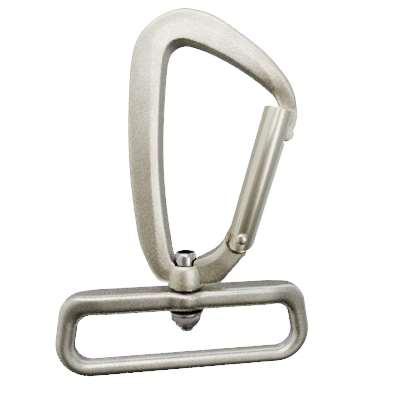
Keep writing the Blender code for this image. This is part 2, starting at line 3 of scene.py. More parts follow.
import bmesh
import bpy
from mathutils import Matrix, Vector


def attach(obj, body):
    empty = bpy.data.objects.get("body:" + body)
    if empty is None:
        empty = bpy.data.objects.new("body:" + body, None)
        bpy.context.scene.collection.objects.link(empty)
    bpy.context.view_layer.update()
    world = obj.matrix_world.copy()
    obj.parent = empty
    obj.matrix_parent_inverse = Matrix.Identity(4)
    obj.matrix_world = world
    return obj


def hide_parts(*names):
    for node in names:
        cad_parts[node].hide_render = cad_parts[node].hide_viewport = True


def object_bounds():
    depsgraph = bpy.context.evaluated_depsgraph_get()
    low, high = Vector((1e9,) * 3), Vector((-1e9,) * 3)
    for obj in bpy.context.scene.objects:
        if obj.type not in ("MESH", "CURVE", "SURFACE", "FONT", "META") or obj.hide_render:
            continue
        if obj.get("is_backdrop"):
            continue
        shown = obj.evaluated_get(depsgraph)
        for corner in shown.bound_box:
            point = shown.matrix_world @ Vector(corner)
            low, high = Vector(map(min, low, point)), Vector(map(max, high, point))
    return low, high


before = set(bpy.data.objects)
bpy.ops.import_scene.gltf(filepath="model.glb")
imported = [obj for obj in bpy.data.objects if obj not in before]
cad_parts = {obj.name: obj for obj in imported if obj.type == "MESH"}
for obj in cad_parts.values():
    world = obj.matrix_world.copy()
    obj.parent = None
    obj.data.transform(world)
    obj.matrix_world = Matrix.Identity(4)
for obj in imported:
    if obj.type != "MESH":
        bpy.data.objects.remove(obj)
cadLow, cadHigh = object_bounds()

mm = 0.001
fine = mm * 0.0005     # points closer than this are one point


# camera, light and floor

cameraSetup = {
    "place": (14.98, -77.77, -26.05),      # mm, in front of the hook and a little to the right
    "turn": (83.49, 0.68, 8.23),           # degrees
    "lens": 30.6,
}

cameraData = bpy.data.cameras.new("camera")
cameraData.lens = cameraSetup["lens"]
cameraData.sensor_width = 36
cameraData.clip_start = 0.002
cameraData.clip_end = 10
camera = bpy.data.objects.new("camera", cameraData)
bpy.context.scene.collection.objects.link(camera)
camera.location = [value * mm for value in cameraSetup["place"]]
camera.rotation_euler = [math.radians(value) for value in cameraSetup["turn"]]
bpy.context.scene.camera = camera


def linearColour(hexCode):
    channels = [int(hexCode[i:i + 2], 16) / 255 for i in (1, 3, 5)]
    return [c / 12.92 if c <= 0.04045 else ((c + 0.055) / 1.055) ** 2.4 for c in channels] + [1.0]


def addNode(tree, kind, inputs=None, **settings):
    node = tree.nodes.new(kind)
    for key, value in settings.items():
        setattr(node, key, value)
    for socket, value in (inputs or {}).items():
        if isinstance(value, bpy.types.NodeSocket):
            tree.links.new(value, node.inputs[socket])
        else:
            node.inputs[socket].default_value = value
    return node


# the bright and dark walls that the metal reflects; azimuth 0 is in front of the hook, 90 is the gate's side
studioWalls = [
    (-180, 0.12, "#ffffff"), (-152, 0.14, "#ffffff"), (-140, 0.40, "#ffffff"), (-122, 0.40, "#ffffff"),
    (-110, 0.24, "#ffffff"), (-101, 0.80, "#fffdf4"), (-90, 0.95, "#fffdf4"), (-44, 0.95, "#fffdf4"),
    (-32, 0.66, "#fffdf4"), (-22, 0.26, "#fff8f2"), (-14, 0.19, "#fff8f2"), (7, 0.18, "#fff4ec"),
    (14, 0.50, "#fff4ea"), (20, 0.90, "#fff6ee"), (40, 0.84, "#fff8f2"), (50, 0.42, "#fafff8"),
    (88, 0.34, "#f8fff8"), (99, 0.46, "#f0f8ff"), (108, 0.90, "#e4f2ff"), (138, 0.85, "#e8f5ff"),
    (152, 0.35, "#f2f8ff"), (162, 0.12, "#ffffff"),
]
# brightness from straight down to straight up
studioHeights = [
    (-90, 0.04), (-60, 0.06), (-42, 0.22), (-22, 0.62), (0, 1.0), (25, 1.3), (50, 1.5), (68, 0.8), (90, 0.15),
]
# places, targets and sizes in mm; the two small cards stand close in front, for the bow and for the spine
softBoxes = {
    "boxTop": {"place": (-45, -235, 320), "target": (5, 0, -38), "size": (460, 240), "power": 4.0},
    "boxBack": {"place": (25, 260, 340), "target": (5, 0, -38), "size": (560, 220), "power": 1.6},
    "bowCard": {"place": (4, -66, 4), "target": (4, 0, 5), "size": (34, 22), "power": 0.0055,
                "spread": 50},
    "spineCard": {"place": (44, -52, -26), "target": (-6, 0, -24), "size": (20, 60), "power": 0.0075,
                  "spread": 50},
}
studioLevel = 1.8

for name, box in softBoxes.items():
    lightData = bpy.data.lights.new(name, "AREA")
    lightData.shape = "RECTANGLE"
    lightData.size, lightData.size_y = box["size"][0] * mm, box["size"][1] * mm
    lightData.energy = box["power"]
    lightData.spread = math.radians(box.get("spread", 180))
    light = bpy.data.objects.new(name, lightData)
    light.visible_camera = False
    bpy.context.scene.collection.objects.link(light)
    light.location = Vector(box["place"]) * mm
    light.rotation_euler = (Vector(box["place"]) - Vector(box["target"])).to_track_quat("Z", "Y").to_euler()


def fillRamp(ramp, stops):
    # the first two stops are there already
    while len(ramp.elements) < len(stops):
        ramp.elements.new(0.5)
    for element, (position, colour) in zip(ramp.elements, sorted(stops)):
        element.position = position
        element.color = colour


world = bpy.data.worlds.new("studio")
bpy.context.scene.world = world
world.use_nodes = True
tree = world.node_tree
outward = addNode(tree, "ShaderNodeTexCoord").outputs["Generated"]
height = addNode(tree, "ShaderNodeSeparateXYZ", {"Vector": outward}).outputs["Z"]
height = addNode(tree, "ShaderNodeMapRange",
                 {"Value": height, "From Min": -1.0, "From Max": 1.0}).outputs["Result"]
around = addNode(tree, "ShaderNodeTexGradient", {"Vector": outward}, gradient_type="RADIAL").outputs["Fac"]
walls = addNode(tree, "ShaderNodeValToRGB", {"Fac": around})
quarterTurn = 0.25      # the gradient starts a quarter turn away from the front
fillRamp(walls.color_ramp, [((azimuth / 360 + quarterTurn) % 1.0,
                             [channel * bright for channel in linearColour(tint)[:3]] + [1.0])
                            for azimuth, bright, tint in studioWalls])
heights = addNode(tree, "ShaderNodeValToRGB", {"Fac": height})
# the heights go in at half, so that they stay under 1, and the background's strength doubles them again
fillRamp(heights.color_ramp, [((math.sin(math.radians(elevation)) + 1) / 2, [bright / 2] * 3 + [1.0])
                              for elevation, bright in studioHeights])
lit = addNode(tree, "ShaderNodeMix", {"Factor": 1.0, 6: walls.outputs["Color"], 7: heights.outputs["Color"]},
              data_type="RGBA", blend_type="MULTIPLY")
background = tree.nodes["Background"]
tree.links.new(lit.outputs[2], background.inputs["Color"])
background.inputs["Strength"].default_value = 2 * studioLevel

# a pale floor that turns up into a pale tent all round; reflections see the walls above instead
floorSizes = {"drop": 30, "radius": 1500, "height": 1600, "sweep": 500}
floorGlow = 30
floorMiddle = cadLow.z + (floorSizes["height"] / 2 - floorSizes["drop"]) * mm

bpy.ops.object.select_all(action="DESELECT")
bpy.ops.mesh.primitive_cylinder_add(vertices=64, radius=floorSizes["radius"] * mm,
                                    depth=floorSizes["height"] * mm, location=(0, 0, floorMiddle))
floor = bpy.context.object
floor.name = floor.data.name = "studioFloor"
bpy.ops.object.transform_apply()
bpy.ops.object.mode_set(mode="EDIT")
bpy.ops.mesh.select_mode(type="EDGE")
bpy.ops.mesh.select_all(action="DESELECT")
sheet = bmesh.from_edit_mesh(floor.data)
for edge in sheet.edges:
    edge.select_set(all(v.co.z < 0 for v in edge.verts))
bmesh.update_edit_mesh(floor.data)
bpy.ops.mesh.bevel(offset=floorSizes["sweep"] * mm, segments=16, affect="EDGES")
bpy.ops.mesh.select_all(action="SELECT")
bpy.ops.mesh.flip_normals()
bpy.ops.object.mode_set(mode="OBJECT")
bpy.ops.object.shade_smooth()
floorPaint = bpy.data.materials.new("paleStudioPaint")
floorPaint.use_nodes = True
floorShader = floorPaint.node_tree.nodes["Principled BSDF"]
floorShader.inputs["Base Color"].default_value = linearColour("#fbfbfa")
floorShader.inputs["Roughness"].default_value = 0.9
floorShader.inputs["Emission Color"].default_value = linearColour("#ffffff")
floorShader.inputs["Emission Strength"].default_value = floorGlow
floor.data.materials.append(floorPaint)
floor.visible_glossy = False
floor.visible_diffuse = False
floor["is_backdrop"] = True

print("studio ready")


# working helpers

def pickOnly(obj):
    bpy.ops.object.select_all(action="DESELECT")
    obj.select_set(True)
    bpy.context.view_layer.objects.active = obj


def addAndApply(obj, kind, **settings):
    pickOnly(obj)
    modifier = obj.modifiers.new(kind.lower(), kind)
    for key, value in settings.items():
        setattr(modifier, key, value)
    bpy.ops.object.modifier_apply(modifier=modifier.name)


def joinWith(obj, tool, operation):
    addAndApply(obj, "BOOLEAN", object=tool, operation=operation, solver="EXACT")
    bpy.data.objects.remove(tool)


def drawChain(name, points):
    # one vertex, extruded from point to point; points are in mm
    bpy.ops.object.select_all(action="DESELECT")
    bpy.ops.mesh.primitive_plane_add(size=mm, location=[c * mm for c in points[0]])
    obj = bpy.context.object
    obj.name = obj.data.name = name
    bpy.ops.object.transform_apply()
    bpy.ops.object.mode_set(mode="EDIT")
    bpy.ops.mesh.select_mode(type="VERT")
    bpy.ops.mesh.select_all(action="SELECT")
    bpy.ops.mesh.merge(type="CENTER")
    for here, there in zip(points, points[1:]):
        step = [(b - a) * mm for a, b in zip(here, there)]
        bpy.ops.mesh.extrude_region_move(TRANSFORM_OT_translate={"value": step})
    return obj


def turnOnLathe(name, profile, steps=96):
    # profile of (radius, height), spun about the swivel's axis
    obj = drawChain(name, [(radius, 0, height) for radius, height in profile])
    bpy.ops.mesh.select_all(action="SELECT")
    bpy.ops.mesh.spin(steps=steps, angle=2 * math.pi, center=(0, 0, 0), axis=(0, 0, 1))
    bpy.ops.mesh.select_all(action="SELECT")
    bpy.ops.mesh.remove_doubles(threshold=fine)
    bpy.ops.mesh.normals_make_consistent(inside=False)
    bpy.ops.object.mode_set(mode="OBJECT")
    return obj


def cutFromPlate(name, outline, low, high):
    # outline of (x, z), filled and extruded through the thickness
    obj = drawChain(name, [(x, low, z) for x, z in outline] + [(outline[0][0], low, outline[0][1])])
    bpy.ops.mesh.select_all(action="SELECT")
    bpy.ops.mesh.remove_doubles(threshold=fine)
    bpy.ops.mesh.edge_face_add()
    bpy.ops.mesh.extrude_region_move(TRANSFORM_OT_translate={"value": (0, (high - low) * mm, 0)})
    bpy.ops.mesh.select_all(action="SELECT")
    bpy.ops.mesh.normals_make_consistent(inside=False)
    bpy.ops.object.mode_set(mode="OBJECT")
    return obj


def arcPoints(centre, radius, start, end, steps):
    # 0 degrees is +X and 90 degrees is +Z
    angles = [math.radians(start + (end - start) * i / steps) for i in range(steps + 1)]
    return [(centre[0] + radius * math.cos(a), centre[1] + radius * math.sin(a)) for a in angles]


def smoothLine(points, steps):
    # a curve through rows of numbers
    ends = [points[0]] + list(points) + [points[-1]]
    line = []
    for i in range(1, len(ends) - 2):
        for s in range(steps):
            t = s / steps
            line.append([0.5 * (2 * q + (r - p) * t + (2 * p - 5 * q + 4 * r - w) * t * t
                                + (3 * q - p - 3 * r + w) * t ** 3)
                         for p, q, r, w in zip(*ends[i - 1:i + 3])])
    line.append(list(points[-1]))
    return line


def mix(first, second, share):
    return first + (second - first) * share


def easeTo(value, none, full):
    # 0 at none, 1 at full
    share = max(0.0, min(1.0, (value - none) / (full - none)))
    return share * share * (3 - 2 * share)


def roundSection(corners, straightSteps, roundSteps):
    # a section through corners (across, height, radius); its ends stay sharp
    points = [Vector(corners[0][:2])]
    for i in range(1, len(corners) - 1):
        here, radius = Vector(corners[i][:2]), corners[i][2]
        back = (Vector(corners[i - 1][:2]) - here).normalized()
        ahead = (Vector(corners[i + 1][:2]) - here).normalized()
        halfAngle = back.angle(ahead) / 2
        reach = radius / math.tan(halfAngle)
        centre = here + (back + ahead).normalized() * (radius / math.sin(halfAngle))
        start, end = here + back * reach - centre, here + ahead * reach - centre
        turn = start.angle_signed(end)
        last = points[-1]
        first = centre + start
        points += [last.lerp(first, s / straightSteps) for s in range(1, straightSteps)]
        for s in range(roundSteps + 1):
            angle = -turn * s / roundSteps
            points.append(centre + Vector((start.x * math.cos(angle) - start.y * math.sin(angle),
                                           start.x * math.sin(angle) + start.y * math.cos(angle))))
    last, final = points[-1], Vector(corners[-1][:2])
    points += [last.lerp(final, s / straightSteps) for s in range(1, straightSteps + 1)]
    return points


def wrapGrid(name, rows, closed):
    # a flat grid wrapped round the piece: one row of the grid to each section
    along, around = len(rows) - 1, len(rows[0]) - 1
    bpy.ops.object.select_all(action="DESELECT")
    bpy.ops.mesh.primitive_grid_add(x_subdivisions=along, y_subdivisions=around, size=1)
    obj = bpy.context.object
    obj.name = obj.data.name = name
    for vertex in obj.data.vertices:
        i, j = round((vertex.co.x + 0.5) * along), round((vertex.co.y + 0.5) * around)
        vertex.co = rows[i][j] * mm
    bpy.ops.object.mode_set(mode="EDIT")
    bpy.ops.mesh.select_mode(type="VERT")
    bpy.ops.mesh.select_all(action="SELECT")
    bpy.ops.mesh.remove_doubles(threshold=fine)
    if not closed:
        bpy.ops.mesh.select_all(action="DESELECT")
        bpy.ops.mesh.select_non_manifold()
        bpy.ops.mesh.fill_holes(sides=0)
        bpy.ops.mesh.select_all(action="SELECT")
    bpy.ops.mesh.normals_make_consistent(inside=False)
    bpy.ops.object.mode_set(mode="OBJECT")
    return obj


def finishPiece(obj, body, node, paint, sharpAngle=35):
    pickOnly(obj)
    bpy.ops.object.transform_apply()
    bpy.ops.object.shade_smooth_by_angle(angle=math.radians(sharpAngle))
    obj.data.materials.clear()
    obj.data.materials.append(paint)
    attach(obj, body)
    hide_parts(node)


def softenEdges(obj, width, segments=2, angle=40):
    addAndApply(obj, "BEVEL", width=width * mm, segments=segments, limit_method="ANGLE",
                angle_limit=math.radians(angle), miter_outer="MITER_ARC", use_clamp_overlap=True)


# finishes

def newPaint(name, colour, metallic, roughness):
    paint = bpy.data.materials.new(name)
    paint.use_nodes = True
    shader = paint.node_tree.nodes["Principled BSDF"]
    shader.inputs["Base Color"].default_value = linearColour(colour)
    shader.inputs["Metallic"].default_value = metallic
    shader.inputs["Roughness"].default_value = roughness
    return paint, paint.node_tree, shader


# painted shade in gaps and inner corners: how far the occlusion looks, and the grey the base colour darkens
# to
cornerReach = 1.2       # mm
cornerShadeGrey = "#4c4e4e"


def paintShadeInCorners(tree, shader, colour, reach, darkest):
    # painted shade: an ambient occlusion mask darkens the base colour towards a grey in narrow gaps and inner
    # corners, so they read as thin dark lines
    around = addNode(tree, "ShaderNodeAmbientOcclusion", {"Distance": reach * mm}, samples=8)
    unshadedShare = addNode(tree, "ShaderNodeMapRange",
                    {"Value": around.outputs["AO"], "From Min": 0.1, "From Max": 0.6})
    shaded = addNode(tree, "ShaderNodeMix",
                     {"Factor": unshadedShare.outputs["Result"], 6: linearColour(darkest), 7: colour},
                     data_type="RGBA")
    tree.links.new(shaded.outputs[2], shader.inputs["Base Color"])


def blastedAluminium(name, light, dark, roughness, grainSize, grainDepth):
    # bead-blasted aluminium: a soft wide sheen broken by a fine glittering grain
    paint, tree, shader = newPaint(name, light, 1.0, roughness)
    place = addNode(tree, "ShaderNodeTexCoord").outputs["Object"]
    # real blast grain is about 0.1 mm; grainSize is as coarse as it needs to show
    grain = addNode(tree, "ShaderNodeTexNoise", {"Vector": place, "Scale": 1 / (grainSize * mm),
                                                 "Detail": 3.0, "Roughness": 0.65})
    clouds = addNode(tree, "ShaderNodeTexNoise", {"Vector": place, "Scale": 1 / (6 * mm), "Detail": 2.0})
    speck = addNode(tree, "ShaderNodeMapRange",
                    {"Value": grain.outputs["Fac"], "From Min": 0.32, "From Max": 0.68})
    cloud = addNode(tree, "ShaderNodeMapRange",
                    {"Value": clouds.outputs["Fac"], "From Min": 0.3, "From Max": 0.7,
                     "To Min": -0.18, "To Max": 0.18})
    mixed = addNode(tree, "ShaderNodeMath", {0: speck.outputs["Result"], 1: cloud.outputs["Result"]},
                    operation="ADD", use_clamp=True)
    tint = addNode(tree, "ShaderNodeMix", {"Factor": mixed.outputs["Value"], 6: linearColour(dark),
                                           7: linearColour(light)}, data_type="RGBA")
    # painted shade: the base colour darkens in gaps and inner corners
    paintShadeInCorners(tree, shader, tint.outputs[2], cornerReach, cornerShadeGrey)
    gloss = addNode(tree, "ShaderNodeMapRange", {"Value": mixed.outputs["Value"], "To Min": roughness + 0.06,
                                                 "To Max": roughness - 0.06})
    tree.links.new(gloss.outputs["Result"], shader.inputs["Roughness"])
    bump = addNode(tree, "ShaderNodeBump", {"Height": grain.outputs["Fac"], "Strength": 1.0,
                                            "Distance": grainDepth * mm})
    tree.links.new(bump.outputs["Normal"], shader.inputs["Normal"])
    return paint


def brushedMetal(name, light, dark, roughness, lineWidth, lineLength, lean, lineDepth):
    # aluminium brushed with a belt: long fine scratches along the bar, so its highlights spread across them
    paint, tree, shader = newPaint(name, light, 1.0, roughness)
    place = addNode(tree, "ShaderNodeTexCoord").outputs["Object"]
    turned = addNode(tree, "ShaderNodeMapping", {"Vector": place, "Rotation": (0, -lean, 0)})
    stretched = addNode(tree, "ShaderNodeMapping", {"Vector": turned.outputs["Vector"],
                                                    "Scale": (1.0, 1.0, lineWidth / lineLength)})
    lines = addNode(tree, "ShaderNodeTexNoise",
                    {"Vector": stretched.outputs["Vector"], "Scale": 1 / (lineWidth * mm),
                     "Detail": 3.0, "Roughness": 0.6})
    streak = addNode(tree, "ShaderNodeMapRange",
                     {"Value": lines.outputs["Fac"], "From Min": 0.3, "From Max": 0.7})
    tint = addNode(tree, "ShaderNodeMix", {"Factor": streak.outputs["Result"], 6: linearColour(dark),
                                           7: linearColour(light)}, data_type="RGBA")
    # painted shade: the base colour darkens in gaps and inner corners
    paintShadeInCorners(tree, shader, tint.outputs[2], cornerReach, cornerShadeGrey)
    gloss = addNode(tree, "ShaderNodeMapRange", {"Value": lines.outputs["Fac"], "To Min": roughness + 0.05,
                                                 "To Max": roughness - 0.05})
    tree.links.new(gloss.outputs["Result"], shader.inputs["Roughness"])
    bump = addNode(tree, "ShaderNodeBump", {"Height": lines.outputs["Fac"], "Strength": 1.0,
                                            "Distance": lineDepth * mm})
    tree.links.new(bump.outputs["Normal"], shader.inputs["Normal"])
    return paint


def turnedMetal(name, light, dark, roughness, markSize, markDepth):
    # turned or plated steel: a clear gloss with small smudges, so that its bright bands break up a little
    paint, tree, shader = newPaint(name, light, 1.0, roughness)
    place = addNode(tree, "ShaderNodeTexCoord").outputs["Object"]
    marks = addNode(tree, "ShaderNodeTexNoise", {"Vector": place, "Scale": 1 / (markSize * mm),
                                                 "Detail": 2.0})
    tint = addNode(tree, "ShaderNodeMix", {"Factor": marks.outputs["Fac"], 6: linearColour(dark),
                                           7: linearColour(light)}, data_type="RGBA")
    # painted shade: the base colour darkens in gaps and inner corners
    paintShadeInCorners(tree, shader, tint.outputs[2], cornerReach, cornerShadeGrey)
    gloss = addNode(tree, "ShaderNodeMapRange", {"Value": marks.outputs["Fac"], "To Min": roughness + 0.08,
                                                 "To Max": max(0.04, roughness - 0.08)})
    tree.links.new(gloss.outputs["Result"], shader.inputs["Roughness"])
    bump = addNode(tree, "ShaderNodeBump", {"Height": marks.outputs["Fac"], "Strength": 1.0,
                                            "Distance": markDepth * mm})
    tree.links.new(bump.outputs["Normal"], shader.inputs["Normal"])
    return paint


def mouldedNylon(name, light, dark):
    # natural nylon: a milky matt ring with a slight mottle
    paint, tree, shader = newPaint(name, light, 0.0, 0.5)
    shader.inputs["IOR"].default_value = 1.53
    place = addNode(tree, "ShaderNodeTexCoord").outputs["Object"]
    mottle = addNode(tree, "ShaderNodeTexNoise", {"Vector": place, "Scale": 1 / (0.4 * mm), "Detail": 2.0})
    tint = addNode(tree, "ShaderNodeMix", {"Factor": mottle.outputs["Fac"], 6: linearColour(dark),
                                           7: linearColour(light)}, data_type="RGBA")
    tree.links.new(tint.outputs[2], shader.inputs["Base Color"])
    bump = addNode(tree, "ShaderNodeBump",
                   {"Height": mottle.outputs["Fac"], "Strength": 0.5, "Distance": 0.01 * mm})
    tree.links.new(bump.outputs["Normal"], shader.inputs["Normal"])
    return paint


gateLean = math.radians(15.95)

satinHook = blastedAluminium("blastedAluminium", "#ece6ca", "#99927c", 0.34, 0.28, 0.06)
satinLoop = blastedAluminium("tumbledAluminium", "#e6e3d4", "#959182", 0.27, 0.28, 0.045)
brushedGate = brushedMetal("brushedAluminium", "#efecce", "#c8c3a6", 0.25, 0.22, 14.0, gateLean, 0.012)
polishedRivet = turnedMetal("polishedSteel", "#e2dfcc", "#cfcab4", 0.16, 0.8, 0.004)
brightBolt = turnedMetal("polishedBoltSteel", "#bcbcbc", "#949494", 0.12, 0.7, 0.003)
plainWasher = turnedMetal("platedSteel", "#a8a69e", "#7a7870", 0.28, 0.35, 0.012)
dullNut = turnedMetal("dullPlatedSteel", "#a3a29d", "#62615c", 0.27, 0.35, 0.02)
springWire = turnedMetal("drawnWire", "#b6b6b4", "#8c8c8a", 0.28, 0.25, 0.006)
pinSteel = turnedMetal("turnedPinSteel", "#c0c0be", "#9a9a98", 0.25, 0.3, 0.006)
milkyNylon = mouldedNylon("naturalNylon", "#b9b6ab", "#a29f94")

print("finishes ready")


# hook body

hookSizes = {
    "outerRound": 1.3,      # outer edges
    "ridgeRound": 6.0,      # where the flat face turns into the bevel
    "innerRound": 0.45,     # edges inside the eye
    "bossBottom": -55.3, "bossTop": -50.2, "bossR": 4.45, "bossTopR": 3.75,
    "pocketR": 3.3, "pocketFloor": -51.6,
    "boltBoreR": 2.08,
    "smoothSteps": 6,
}
pivotX, pivotZ = 13.25, -43.5

# outer x, z; inner x, z; half thickness; bevel width; half thickness inside; from the nose round to the arm
hookRows = [
    (25.15, -15.4, 21.3, -14.6, 1.1, 0.3, 0.9),
    (24.75, -12.7, 20.4, -12.4, 1.85, 0.5, 1.6),
    (23.6, -10.0, 19.0, -10.8, 2.65, 0.9, 2.3),
    (21.6, -7.3, 17.0, -9.0, 3.35, 1.9, 2.75),
    (18.3, -3.6, 14.3, -6.9, 3.6, 2.5, 2.9),
    (13.6, 0.3, 10.5, -4.4, 3.6, 2.9, 2.9),
    (8.3, 4.1, 6.1, -2.0, 3.6, 3.3, 2.9),
    (4.3, 5.8, 2.9, -0.65, 3.6, 3.5, 2.9),
    (0.4, 6.45, 0.5, 0.0, 3.6, 3.5, 2.9),
    (-4.0, 5.4, -1.5, -0.4, 3.6, 3.4, 2.9),
    (-7.7, 3.0, -2.9, -1.5, 3.6, 3.0, 2.9),
    (-9.9, 0.1, -3.6, -3.1, 3.6, 2.4, 2.9),
    (-11.2, -4.3, -4.05, -5.5, 3.6, 1.9, 2.9),
    (-11.9, -10.5, -4.6, -10.6, 3.6, 1.7, 2.9),
    (-12.35, -18.0, -5.15, -18.0, 3.6, 1.7, 2.9),
    (-12.45, -25.0, -5.35, -25.0, 3.6, 1.7, 2.9),
    (-12.15, -32.0, -5.2, -32.0, 3.6, 1.8, 2.9),
    (-11.4, -39.5, -4.6, -39.2, 3.6, 1.9, 2.9),
    (-10.6, -44.8, -4.0, -43.8, 3.6, 2.2, 2.9),
    (-9.0, -49.4, -3.5, -47.3, 3.5, 2.6, 2.8),
    (-7.4, -52.8, -2.9, -49.2, 3.1, 2.4, 2.6),
    (-5.6, -54.6, -1.8, -50.0, 2.6, 2.0, 2.3),
    (0.0, -55.15, 0.0, -50.2, 2.3, 1.6, 2.1),
    (5.2, -54.95, 2.2, -49.2, 2.5, 1.6, 2.3),
    (8.8, -53.7, 4.2, -48.3, 3.1, 1.6, 2.7),
    (10.8, -51.3, 6.7, -46.9, 3.6, 1.5, 2.9),
    (12.8, -48.9, 8.6, -45.0, 3.6, 1.3, 2.9),
    (14.3, -46.7, 9.5, -43.2, 3.6, 1.2, 2.9),
    (15.3, -45.1, 9.9, -42.3, 3.6, 1.2, 2.9),
]


def hookSection(outerX, outerZ, innerX, innerZ, half, bevel, innerHalf):
    outer, across = Vector((outerX, outerZ)), Vector((innerX - outerX, innerZ - outerZ))
    width = across.length
    across.normalize()
    outerRound = min(hookSizes["outerRound"], half * 0.6)
    ridgeRound = min(hookSizes["ridgeRound"], bevel * bevel * 0.6)
    side = roundSection([(0, 0), (0, half, outerRound), (width - bevel, half, ridgeRound),
                         (width, innerHalf, min(hookSizes["innerRound"], innerHalf * 0.3)), (width, 0)], 3, 5)
    ring = side + [Vector((p.x, -p.y)) for p in reversed(side[:-1])]
    return [Vector((outer.x + across.x * p.x, p.y, outer.y + across.y * p.x)) for p in ring]


def fromGate(across, along):
    # a point of the closed gate's own frame, in the hook's x and z
    return (pivotX + across * math.cos(gateLean) + along * math.sin(gateLean),
            pivotZ - across * math.sin(gateLean) + along * math.cos(gateLean))


def aroundPivot(radiusAt, start, end, step):
    # 0 degrees is down the gate and 90 is the outer side
    points = []
    for turn in range(start, end + 1, step):
        radius, angle = radiusAt(turn), math.radians(turn)
        points.append(fromGate(radius * math.sin(angle), -radius * math.cos(angle)))
    return points


hookLine = smoothLine(hookRows, hookSizes["smoothSteps"])
hook = wrapGrid("hookBody", [hookSection(*row) for row in hookLine], False)

# radii in mm, and the turns in degrees over which one radius passes into the next
shoulderSizes = {"innerR": 3.6, "outerR": 3.1, "easeFrom": -18, "easeOver": 33}
tangSizes = {"half": 1.2, "r": 2.9, "hornR": 3.5, "rise": 47, "outerR": 2.15, "fall": 60, "holeR": 1.08}
noseSizes = {"neckHalf": 1.0, "bulbR": 1.55, "bulbHalf": 1.6, "bulbAcross": 3.0, "bulbAlong": 24.8}


def shoulderR(turn):
    ease = max(0.0, min(1.0, (turn - shoulderSizes["easeFrom"]) / shoulderSizes["easeOver"]))
    return mix(shoulderSizes["innerR"], shoulderSizes["outerR"], ease)


def camR(turn):
    inner = turn - 180
    if inner > 0:
        return mix(tangSizes["r"], tangSizes["hornR"], min(1.0, inner / tangSizes["rise"]))
    return mix(tangSizes["r"], tangSizes["outerR"], min(1.0, -inner / tangSizes["fall"]))


joinWith(hook, cutFromPlate("shoulderCutter", aroundPivot(shoulderR, -160, 190, 5), -6, 6), "DIFFERENCE")

bossR, bossBottom, bossTop = hookSizes["bossR"], hookSizes["bossBottom"], hookSizes["bossTop"]
boss = turnOnLathe("hookBoss", [
    (0, bossBottom), (bossR - 0.3, bossBottom), (bossR - 0.12, bossBottom + 0.05),
    (bossR - 0.03, bossBottom + 0.14), (bossR, bossBottom + 0.3), (bossR - 0.03, -54.0),
    (bossR - 0.09, -53.0), (bossR - 0.18, -52.1), (bossR - 0.3, -51.3), (bossR - 0.5, -50.7),
    (hookSizes["bossTopR"] - 0.02, bossTop - 0.1), (hookSizes["bossTopR"] - 0.15, bossTop), (0, bossTop)])
joinWith(hook, boss, "UNION")
pocketR, pocketFloor, boltBoreR = hookSizes["pocketR"], hookSizes["pocketFloor"], hookSizes["boltBoreR"]
pocketTop, boreLow, boreTop = -46.5, -60, -45       # the cutters' ends, clear of the boss
pocket = turnOnLathe("pocketCutter", [(0, pocketFloor), (pocketR, pocketFloor),
                                      (pocketR, pocketTop), (0, pocketTop)])
joinWith(hook, pocket, "DIFFERENCE")
boltBore = turnOnLathe("boreCutter", [(0, boreLow), (boltBoreR, boreLow), (boltBoreR, boreTop), (0, boreTop)])
joinWith(hook, boltBore, "DIFFERENCE")

tangOutline = aroundPivot(camR, 84, 254, 5) + [
    (9.45, -43.4), (8.9, -44.9), (12.2, -49.0), fromGate(tangSizes["outerR"] - 0.1, -3.9),
    fromGate(tangSizes["outerR"], -2.0)]
joinWith(hook, cutFromPlate("tang", tangOutline, -tangSizes["half"], tangSizes["half"]), "UNION")

bulb = fromGate(noseSizes["bulbAcross"], noseSizes["bulbAlong"])
neckOutline = [(24.0, -13.4), (24.95, -14.2), (25.2, -15.6), (25.15, -17.2), (24.85, -18.7),
               *arcPoints(bulb, noseSizes["bulbR"], 25, -150, 16),
               (21.6, -18.6), (21.4, -16.4), (21.35, -14.2)]
joinWith(hook, cutFromPlate("neck", neckOutline, -noseSizes["neckHalf"], noseSizes["neckHalf"]), "UNION")
crossBulb = cutFromPlate("crossBulb", arcPoints(bulb, noseSizes["bulbR"], 0, 355, 71),
                         -noseSizes["bulbHalf"], noseSizes["bulbHalf"])
softenEdges(crossBulb, 0.25, 3)
joinWith(hook, crossBulb, "UNION")
rivetHole = arcPoints((pivotX, pivotZ), tangSizes["holeR"], 0, 352.5, 47)
joinWith(hook, cutFromPlate("rivetHole", rivetHole, -6, 6), "DIFFERENCE")
finishPiece(hook, "hook", "hook_body", satinHook, 30)

print("hook body done,", len(hook.data.polygons), "faces")


# gate

gateSizes = {
    "top": 29.7, "bottom": -5.0, "topR": 3.4, "endR": 3.15, "topRound": 0.4,
    "earGap": 1.45, "wall": 2.4, "roofR": 3.65, "stopR": 3.25,
    "springBoreR": 1.7, "springBoreTop": 19.0, "holeR": 1.05,
}

bpy.ops.object.select_all(action="DESELECT")
bpy.ops.mesh.primitive_cylinder_add(vertices=128, radius=gateSizes["topR"] * mm,
                                    depth=(gateSizes["top"] - gateSizes["bottom"]) * mm,
                                    location=(0, 0, (gateSizes["top"] + gateSizes["bottom"]) / 2 * mm))
gate = bpy.context.object
gate.name = gate.data.name = "gateBar"
bpy.ops.object.transform_apply()
bpy.ops.object.mode_set(mode="EDIT")
bpy.ops.mesh.select_mode(type="VERT")
bpy.ops.mesh.select_all(action="DESELECT")
gateMesh = bmesh.from_edit_mesh(gate.data)
for vertex in gateMesh.verts:
    vertex.select_set(vertex.co.z < 0)
bmesh.update_edit_mesh(gate.data)
shrink = gateSizes["endR"] / gateSizes["topR"]
bpy.ops.transform.resize(value=(shrink, shrink, 1), center_override=(0, 0, gateSizes["bottom"] * mm))
bpy.ops.mesh.select_mode(type="EDGE")
bpy.ops.mesh.select_all(action="DESELECT")
gateMesh = bmesh.from_edit_mesh(gate.data)
for edge in gateMesh.edges:
    edge.select_set(all(v.co.z > 0.9 * gateSizes["top"] * mm for v in edge.verts))
bmesh.update_edit_mesh(gate.data)
bpy.ops.mesh.bevel(offset=gateSizes["topRound"] * mm, segments=5, affect="EDGES")
bpy.ops.object.mode_set(mode="OBJECT")

